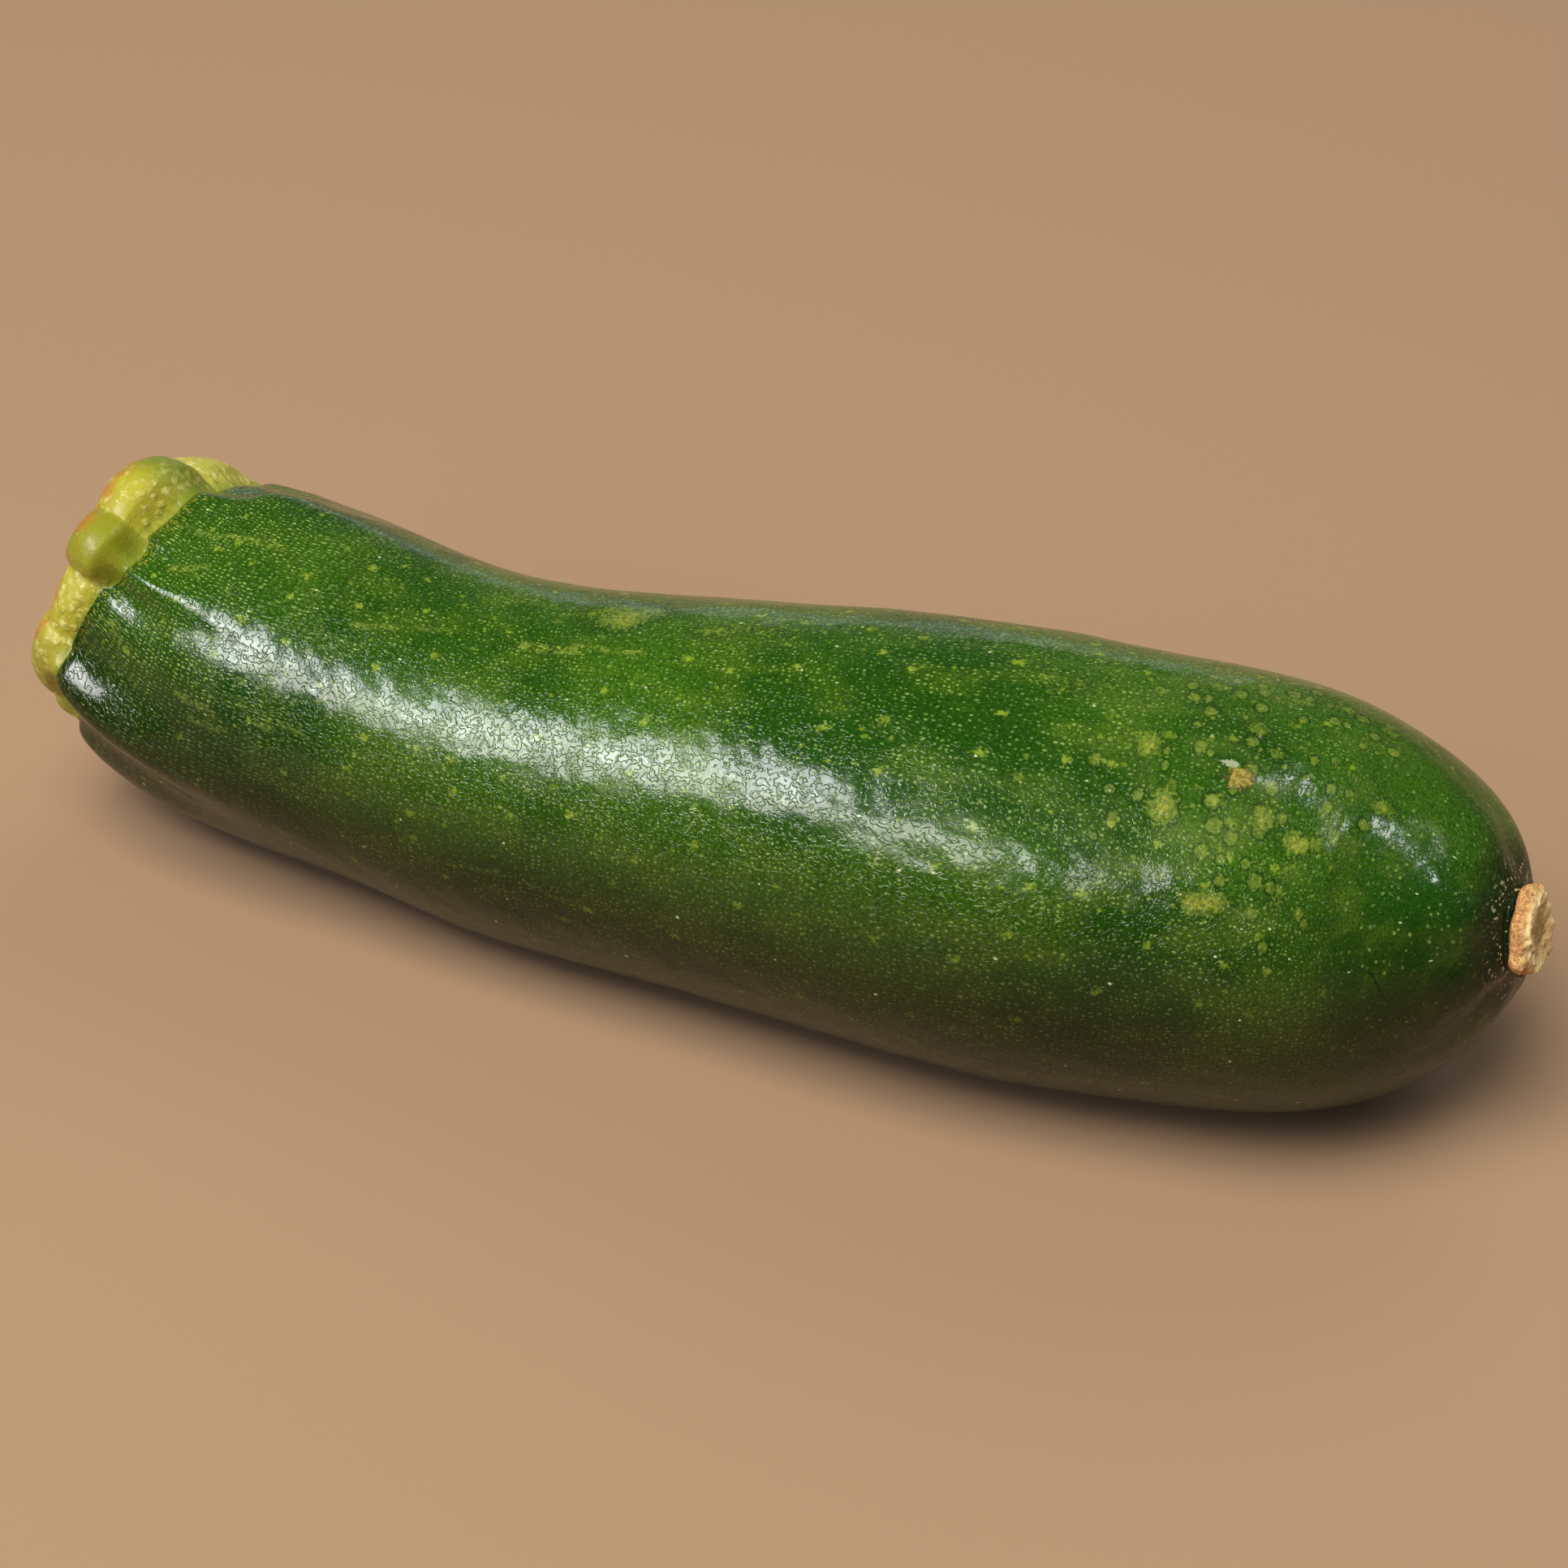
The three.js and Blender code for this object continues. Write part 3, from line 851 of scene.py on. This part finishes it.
def skin_material():
    s = Shader("courgette skin")
    straight = s.attribute("straight", "Vector")
    lay = s.put("ShaderNodeUVMap", {"uv_map": "lay"}).outputs[0]
    along = s.put("ShaderNodeSeparateXYZ", Vector=straight).outputs[0]
    blotch, streak, spotted, by_scar, by_stub, under = (
        s.attribute(name)
        for name in ("blotch", "streak", "spotted", "by_scar", "by_stub", "under")
    )
    broad = s.noise(straight, 24, 1.0)
    cloudy = s.noise(s.stretched(straight, (0.5, 1, 1)), 4.5, 1.0, 0.6)
    mottle = s.noise(straight, 0.65, 1.0, 0.65)
    grain = s.noise(straight, 0.38, 2.0, 0.65)
    ragged = s.plus(s.noise(straight, 0.5, 1.0, 0.6), -0.5)

    # The deep green, lighter and yellower in broad soft patches
    green = s.blend(s.between(broad, 0.36, 0.64), GREEN_DEEP, GREEN_LIGHT)
    green = s.blend(s.between(cloudy, 0.42, 0.72, 0, 0.45), green, GREEN_CLOUD)
    green = s.blend(s.between(along, 10, 60, 0.3, 0), green, GREEN_NECK)
    green = s.blend(s.between(grain, 0.36, 0.62, 0.6, 0), green, GREEN_GRAIN)

    # Painted shade: the lower side is painted darker and browner, and its marks fainter
    green = s.blend(s.times(under, 0.95), green, s.stretched(green, PAINTED_SHADE_FACTORS))
    # out_of_painted_shade is 1 outside the painted shade and falls to 0.3 in the darkest of it
    out_of_painted_shade = s.between(under, 0, 1, 1, 0.3)

    # Fine pale dots, lined up in rows, and drawn out into dashes by the stem
    def shown(specks, least, most, dimmest):
        """Specks of sizes from least to most, from dimmest to full strength."""
        near, random = specks
        size = s.between(random[0], 0, 1, least, most)
        spot = s.between(s.math("DIVIDE", near, size), 0.5, 1.25, 1, 0)
        return s.times(spot, s.between(random[1], 0.05, 0.95, dimmest, 1))

    jitter = s.wander(straight, 3.2, (0.14, 0.1, 0))
    strayed = s.vector("ADD", lay, s.wander(straight, 0.3, (1.2, 1.0, 0)))
    strayed = s.vector("ADD", strayed, jitter)
    dashes = shown(s.specks(strayed, (0.98, 0.6, 1), (0.26, 0.11, 1), 0.5), 0.7, 1.3, 0.3)
    dots = shown(s.specks(strayed, (0.7, 0.56, 1), (0.15, 0.105, 1), 0.8), 0.6, 1.45, 0.15)
    nose_dots = shown(s.round_specks(straight, 0.8, 0.2), 0.5, 1.3, 0.1)
    on_nose = s.between(along, *(FRUIT_LENGTH - back for back in NOSE_MARKS))
    fine = s.either(s.between(along, *DASHES_END, 1, 0), dots, dashes)
    speckle = s.either(on_nose, fine, nose_dots)
    speckle = s.times(speckle, s.between(cloudy, 0.3, 0.7, 0.55, 1))
    strength = s.times(s.between(along, *DASHES_END, 1.0, 0.66), out_of_painted_shade)
    colour = s.blend(s.times(speckle, strength), green, DOT_GREEN)

    # Larger yellow-green flecks with ragged, starry edges, and a few dry white ones
    near_fleck, fleck_random = s.specks(lay, (7.4, 6.6, 1), (0.6, 0.5, 1), 1.0)
    fleck = s.between(s.frayed(near_fleck, ragged, 3.2), 0.1, 1.3, 1, 0)
    fleck = s.times(fleck, s.between(fleck_random[0], 0.15, 0.6))
    near_mote, mote_random = s.specks(lay, (3.3, 2.9, 1), (0.36, 0.26, 1), 1.0)
    mote = s.between(s.frayed(near_mote, ragged, 3.2), 0.1, 1.3, 1, 0)
    mote = s.times(mote, s.between(mote_random[0], 0.45, 0.9, 0, 0.7))
    flecks = s.times(s.math("MAXIMUM", fleck, mote), s.math("SUBTRACT", 1.0, on_nose))
    colour = s.blend(s.times(s.times(flecks, out_of_painted_shade), 0.7), colour, FLECK_GREEN)
    flake = s.between(s.plus(near_mote, ragged), 0.3, 0.55, 1, 0)
    flake = s.times(flake, s.math("GREATER_THAN", mote_random[2], 0.93))
    colour = s.blend(s.times(flake, 0.8), colour, FLAKE_WHITE)

    # Streaks along the fruit, made of dashes run together
    run = s.plus(s.times(fine, 0.7), s.between(mottle, 0.4, 0.62, 0, 0.7))
    run = s.math("MULTIPLY", run, s.between(streak, 0.2, 0.75), clamp=True)
    colour = s.blend(s.times(s.times(run, out_of_painted_shade), 0.6), colour, STREAK_GREEN)

    # Round translucent spots with dark rims, thick by the blossom end
    near_spot, spot_random = s.specks(lay, (3.0, 2.7, 1), (1, 1, 1), 0.95)
    near_spot = s.math("DIVIDE", near_spot, s.between(spot_random[0], 0, 1, 0.4, 1.1))
    near_spot = s.frayed(near_spot, ragged, 0.55)
    spot_here = s.times(s.between(s.times(spotted, spot_random[1]), 0.18, 0.32), out_of_painted_shade)
    spot_rim = s.times(s.between(near_spot, 0.74, 0.92), s.between(near_spot, 1, 1.25, 1, 0))
    colour = s.blend(s.times(s.times(spot_rim, spot_here), 0.6), colour, SPOT_RIM)
    inside = s.times(s.between(near_spot, 0.55, 0.88, 1, 0), spot_here)
    inside = s.times(inside, s.between(mottle, 0.36, 0.62, 0.25, 0.62))
    colour = s.blend(inside, colour, SPOT_GREEN)

    # Yellower blotches with dark rims and grainy hearts, and a haze where the spots are thick
    mark = s.plus(blotch, ragged)
    rim = s.times(s.between(mark, 0.14, 0.28), s.between(mark, 0.32, 0.46, 1, 0))
    rim = s.times(rim, s.between(blotch, 0.1, 0.25, 0, 0.5))
    colour = s.blend(rim, colour, BLOTCH_RIM)
    body = s.times(s.between(mark, 0.34, 0.6), s.between(mottle, 0.36, 0.6, 0.22, 0.6))
    colour = s.blend(s.times(body, out_of_painted_shade), colour, BLOTCH_GREEN)
    heart = s.times(s.between(mark, 0.6, 1.0), s.between(grain, 0.4, 0.6, 0.05, 0.55))
    colour = s.blend(s.times(heart, out_of_painted_shade), colour, BLOTCH_HEART)
    haze = s.times(spotted, s.between(cloudy, 0.4, 0.65, 0, 0.2))
    colour = s.blend(s.times(haze, out_of_painted_shade), colour, HAZE_GREEN)

    # The scab with a pale chip beside it, partly a painted glint, scratches and cuts
    scab = s.plus(s.attribute("scab"), ragged)
    scabby = s.blend(s.between(mottle, 0.38, 0.6), SCAB_BROWN, SCAB_TAN)
    colour = s.blend(s.between(scab, 0.3, 0.42, 0, 0.7), colour, SCAB_RIM)
    colour = s.blend(s.between(scab, 0.42, 0.58), colour, scabby)
    chip = s.frayed(s.attribute("chip"), ragged, 0.9)
    colour = s.blend(s.between(chip, 0.46, 0.6), colour, CHIP_AND_GLINT_GREY)
    crooked = s.vector("ADD", lay, s.stretched(jitter, (2.6, 2.6, 0)))
    colour = s.blend(s.times(s.lines(crooked, SCRATCHES), 0.7), colour, SCRATCH_TAN)
    colour = s.blend(s.times(s.lines(crooked, CUTS), 0.85), colour, CUT_DARK)

    # By the stub the skin is darker, with yellow mottles where the stub's colour runs into it
    border = s.between(s.frayed(by_stub, ragged, 1.2), 0.75, 1.1)
    colour = s.blend(s.times(border, 0.5), colour, BORDER_DARK)
    mottled = s.times(s.between(s.frayed(by_stub, ragged, 2.4), 0.98, 1.35), out_of_painted_shade)
    colour = s.blend(s.times(mottled, 0.6), colour, BORDER_YELLOW)

    # Round the scar it is nearly black, with corky crumbs
    near_scar = s.between(s.frayed(by_scar, ragged, 0.5), 0.25, 0.95)
    colour = s.blend(s.times(near_scar, 0.88), colour, SCAR_BORDER_DARK)
    crumb = s.times(s.between(mottle, 0.6, 0.68), s.between(by_scar, 0.72, 0.95))
    colour = s.blend(crumb, colour, CRUMB_TAN)

    # A leathery crinkle that breaks up the shine, over gentle lumps
    crinkle = s.noise(s.stretched(straight, (0.85, 1, 1)), 0.75, 1.0, 0.6)
    crease = s.between(s.math("ABSOLUTE", s.plus(crinkle, -0.5)), 0.0, 0.06)
    swell = s.noise(straight, 4.2, 1.0, 0.55)
    normal = s.bump(s.plus(crease, s.times(crinkle, 1.2)), 0.02, over=s.bump(swell, 0.27))
    dull = s.math("MAXIMUM", s.between(scab, 0.3, 0.5), s.times(near_scar, 0.6))
    roughness = s.plus(s.between(cloudy, 0.35, 0.65, 0.14, 0.2), s.times(dull, 0.25))
    return s.finish(Base_Color=colour, Roughness=roughness, Normal=normal, IOR=1.43)


def stem_material():
    s = Shader("courgette stem")
    straight = s.attribute("straight", "Vector")
    tint = s.attribute("tint", "Vector")
    pebbly, cut, rim, foot, ring = (
        s.attribute(name) for name in ("pebbly", "cut", "rim", "foot", "ring")
    )
    hills = s.noise(straight, 1.3, 2.0, 0.55)
    mottle = s.noise(straight, 0.8, 3.0, 0.6)
    fine = s.noise(straight, 0.3, 2.0)
    uneven = s.plus(mottle, -0.5)

    # Each knob's or web's own tint, with pale pebbles and dots
    colour = s.blend(s.between(hills, 0.5, 0.34, 0, 0.3), tint, HOLLOW_OLIVE)
    near_pebble, pebble_random = s.round_specks(straight, 1.3, 0.62)
    near_pebble = s.frayed(near_pebble, uneven, 2.2)
    pebble = s.times(s.between(near_pebble, 0.25, 1.25, 1, 0), pebbly)
    pale = s.times(pebble, s.between(pebble_random[0], 0.1, 0.85, 0.1, 0.7))
    colour = s.blend(pale, colour, PEBBLE_CREAM)
    near_dot, dot_random = s.round_specks(straight, 1.2, 0.15)
    dot = s.times(s.between(near_dot, 0.5, 1.2, 0.75, 0), s.between(dot_random[0], 0.4, 0.8))
    colour = s.blend(dot, colour, STUB_DOT_CREAM)

    # Green where it meets the fruit
    green_foot = s.between(s.frayed(foot, uneven, 1.6), 0.35, 1.2, 0, 0.75)
    colour = s.blend(green_foot, colour, FOOT_GREEN)

    # The cut: pale fibrous flesh with a ring of darker bundles
    fibres = s.noise(s.stretched(straight, (0.3, 1, 1)), 0.6, 3.0, 0.7)
    flesh = s.blend(s.between(fibres, 0.35, 0.65), FLESH_GREEN, FLESH_CREAM)
    near_bundle, _ = s.specks(straight, (60, 2.6, 2.6), (60, 0.75, 0.75), 0.6, flat=False)
    bundle = s.times(s.between(near_bundle, 0.6, 1.2, 1, 0), ring)
    flesh = s.blend(s.times(bundle, 0.7), flesh, BUNDLE_GREEN)
    colour = s.blend(cut, colour, flesh)

    # Its edge has dried orange-brown in places
    dried = s.times(rim, s.between(s.noise(straight, 2.4, 3.0), 0.4, 0.56))
    colour = s.blend(s.times(dried, 0.75), colour, DRIED_ORANGE)

    height = s.plus(s.times(fine, 0.4), s.times(hills, 0.8))
    normal = s.bump(s.plus(height, s.times(pebble, 0.9)), 0.12)
    return s.finish(
        Base_Color=colour, Roughness=s.between(fine, 0.3, 0.7, 0.32, 0.46), Normal=normal,
        IOR=1.45, Subsurface_Weight=0.1, Subsurface_Radius=(1.0, 0.9, 0.3),
        Subsurface_Scale=1.2 * METRES,
    )


def cork_material():
    s = Shader("courgette scar")
    straight = s.attribute("straight", "Vector")
    ridge, side, core = (s.attribute(name) for name in ("ridge", "side", "core"))
    mottle = s.noise(straight, 1.0, 3.0, 0.65)
    fine = s.noise(straight, 0.3, 3.0, 0.6)
    colour = s.blend(s.between(mottle, 0.35, 0.65), CORK_TAN, CORK_CREAM)
    olive = s.times(core, s.between(mottle, 0.35, 0.6))
    colour = s.blend(s.times(olive, 0.7), colour, CORE_OLIVE)
    brown = s.blend(s.between(fine, 0.35, 0.65), SIDE_BROWN, SIDE_TAN)
    colour = s.blend(s.times(side, 0.85), colour, brown)
    colour = s.blend(s.times(ridge, 0.8), colour, RIDGE_CREAM)
    pits = s.between(s.noise(straight, 0.45, 2.0), 0.36, 0.3)
    colour = s.blend(s.times(pits, 0.7), colour, PIT_BROWN)
    normal = s.bump(s.plus(fine, mottle), 0.16)
    return s.finish(Base_Color=colour, Roughness=0.78, Normal=normal)


fruit = make_fruit()
fruit.data.materials.append(skin_material())
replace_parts(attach(fruit, "root"), "fruit")
stem = make_stem()
stem.data.materials.append(stem_material())
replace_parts(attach(stem, "root"), "stem")
scar = make_scar()
scar.data.materials.append(cork_material())
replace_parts(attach(scar, "root"), "blossom_scar")

# ---- The floor ----
FLOOR_SIZE = 6.0  # metres
bpy.ops.mesh.primitive_plane_add(size=FLOOR_SIZE, location=(0, 0, 0))
floor = bpy.context.object
floor.name = "floor"
floor_material = Shader("pale floor").finish(Base_Color=(*FLOOR_TAN, 1), Roughness=0.85)
floor.data.materials.append(floor_material)

# ---- The light ----
AIM = Vector((0, 0, 25 * METRES))
WARM = (1.0, 0.98, 0.94)
COOL = (0.95, 0.98, 1.0)
SKY = (0.9, 0.95, 1.0)
SKY_STRENGTH = 0.08


def direction(azimuth, elevation):
    """The way to look back from the object: azimuth from its front towards +X, in degrees."""
    azimuth, elevation = np.radians(azimuth), np.radians(elevation)
    level = np.cos(elevation)
    return Vector((np.sin(azimuth) * level, -np.cos(azimuth) * level, np.sin(elevation)))


def soft_light(name, azimuth, elevation, distance, size, watts, colour, shines=True, fills=True):
    """A rectangle of light aimed at the fruit, sizes in metres: it shines if it shows in
    reflections, and it fills if it lights the surfaces themselves."""
    data = bpy.data.lights.new(name, "AREA")
    data.shape = "RECTANGLE"
    data.size, data.size_y = size
    data.energy = watts
    data.color = colour
    light = bpy.data.objects.new(name, data)
    away = direction(azimuth, elevation)
    light.visible_glossy = shines
    light.visible_diffuse = fills
    light.location = AIM + away * distance
    light.rotation_euler = away.to_track_quat("Z", "Y").to_euler()
    bpy.context.collection.objects.link(light)


soft_light("sun", -15, 66, 1.6, (1.0, 1.0), 35, WARM, shines=False)
soft_light("fill", -29, 30, 1.3, (1.0, 0.6), 3, WARM, shines=False)
soft_light("window", -26, 36, 1.3, (1.04, 0.25), 12, WARM, fills=False)
soft_light("window left", -52, 42, 1.3, (0.4, 0.3), 7, COOL, fills=False)
soft_light("lamp right", 96, 48, 1.3, (0.16, 0.1), 1.3, COOL, fills=False)
soft_light("lamp far", 125, 66, 1.3, (0.26, 0.08), 1.7, COOL, fills=False)
soft_light("back", -158, 6, 1.3, (0.8, 0.2), 0.4, SKY)
soft_light("back fill", 170, 42, 1.6, (1.0, 1.0), 6, COOL, shines=False)

world = bpy.data.worlds.new("studio")
world.use_nodes = True
background = world.node_tree.nodes["Background"]
background.inputs["Color"].default_value = (*SKY, 1)
background.inputs["Strength"].default_value = SKY_STRENGTH
bpy.context.scene.world = world
bpy.context.scene.view_settings.view_transform = "Standard"

# ---- The camera ----
VIEW_AZIMUTH = 20.74
VIEW_ELEVATION = 38.0
VIEW_DISTANCE = 420.87 * METRES
VIEW_SIDEWAYS = 3.19 * METRES  # how far right of the middle it looks
VIEW_UP = 0.71 * METRES
LENS = 80
SENSOR = 36
NEAREST = 10 * METRES

back = direction(VIEW_AZIMUTH, VIEW_ELEVATION)
right = Vector((np.cos(np.radians(VIEW_AZIMUTH)), np.sin(np.radians(VIEW_AZIMUTH)), 0))
up = back.cross(right)
camera_data = bpy.data.cameras.new("camera")
camera_data.lens = LENS
camera_data.sensor_width = SENSOR
camera_data.clip_start = NEAREST
camera = bpy.data.objects.new("camera", camera_data)
camera.location = AIM + right * VIEW_SIDEWAYS + up * VIEW_UP + back * VIEW_DISTANCE
camera.rotation_euler = back.to_track_quat("Z", "Y").to_euler()
bpy.context.collection.objects.link(camera)
bpy.context.scene.camera = camera
